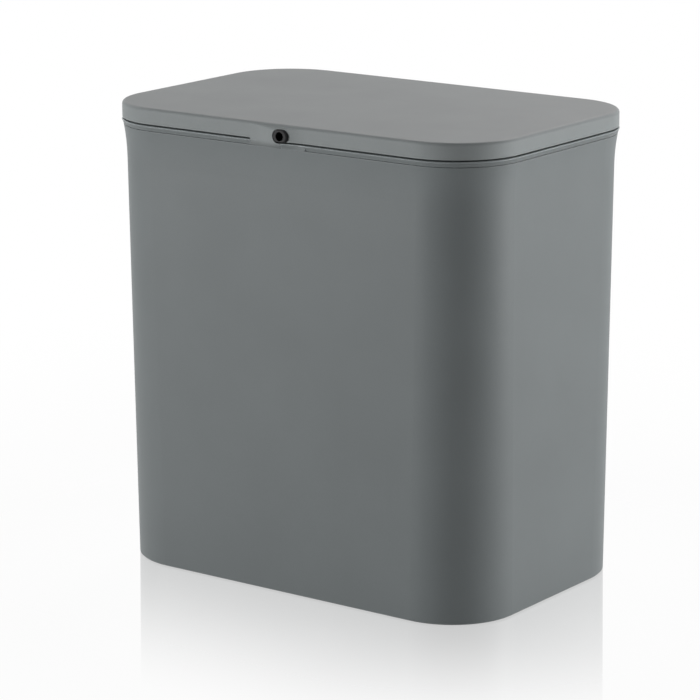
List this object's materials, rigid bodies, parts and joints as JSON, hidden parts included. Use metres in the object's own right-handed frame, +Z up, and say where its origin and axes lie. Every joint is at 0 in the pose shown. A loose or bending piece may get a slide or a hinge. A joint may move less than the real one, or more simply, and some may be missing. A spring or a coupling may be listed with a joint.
{
  "type": "hanging cabinet bin",
  "caption": "Lidded kitchen waste bin with rounded corners that hangs on a bracket inside a cupboard door; lid hinges at the door side.",
  "frame": {"origin": "middle of the underside of the bin, on the surface it stands on", "axes": "+X along the long side, the front faces -Y, the door side faces +Y, +Z is up"},
  "size_m": [0.2806, 0.1997, 0.286],
  "materials": {
    "grey_plastic": "matte",
    "black_plastic": "satin",
    "bracket_plastic": "matte",
    "dark_rubber": "matte",
    "pin_steel": "bright"
  },
  "bodies": {
    "bin": {"bin_body": "grey_plastic", "rear_bumper_left": "dark_rubber", "rear_bumper_right": "dark_rubber"},
    "frame": {"frame_ring": "grey_plastic", "hinge_pin_left": "pin_steel", "hinge_pin_right": "pin_steel"},
    "cover": {"lid": "grey_plastic", "eyelet_bush": "black_plastic", "lid_buffer_front_left": "dark_rubber", "lid_buffer_front_right": "dark_rubber", "lid_buffer_rear_left": "dark_rubber", "lid_buffer_rear_right": "dark_rubber"},
    "bracket": {"door_bracket": "bracket_plastic"}
  },
  "joints": [
    {"name": "frame_lift", "type": "slide", "parent": "bin", "child": "frame", "axis": [0, 0, 1], "range_m": [0, 0.03]},
    {"name": "lid_hinge", "type": "hinge", "parent": "frame", "child": "cover", "pos_m": [0, 0.0943, 0.2779], "axis": [-1, 0, 0], "range_deg": [0, 91]},
    {"name": "bracket_slide", "type": "slide", "parent": "bin", "child": "bracket", "axis": [0, 0, -1], "range_m": [0, 0.068]}
  ]
}
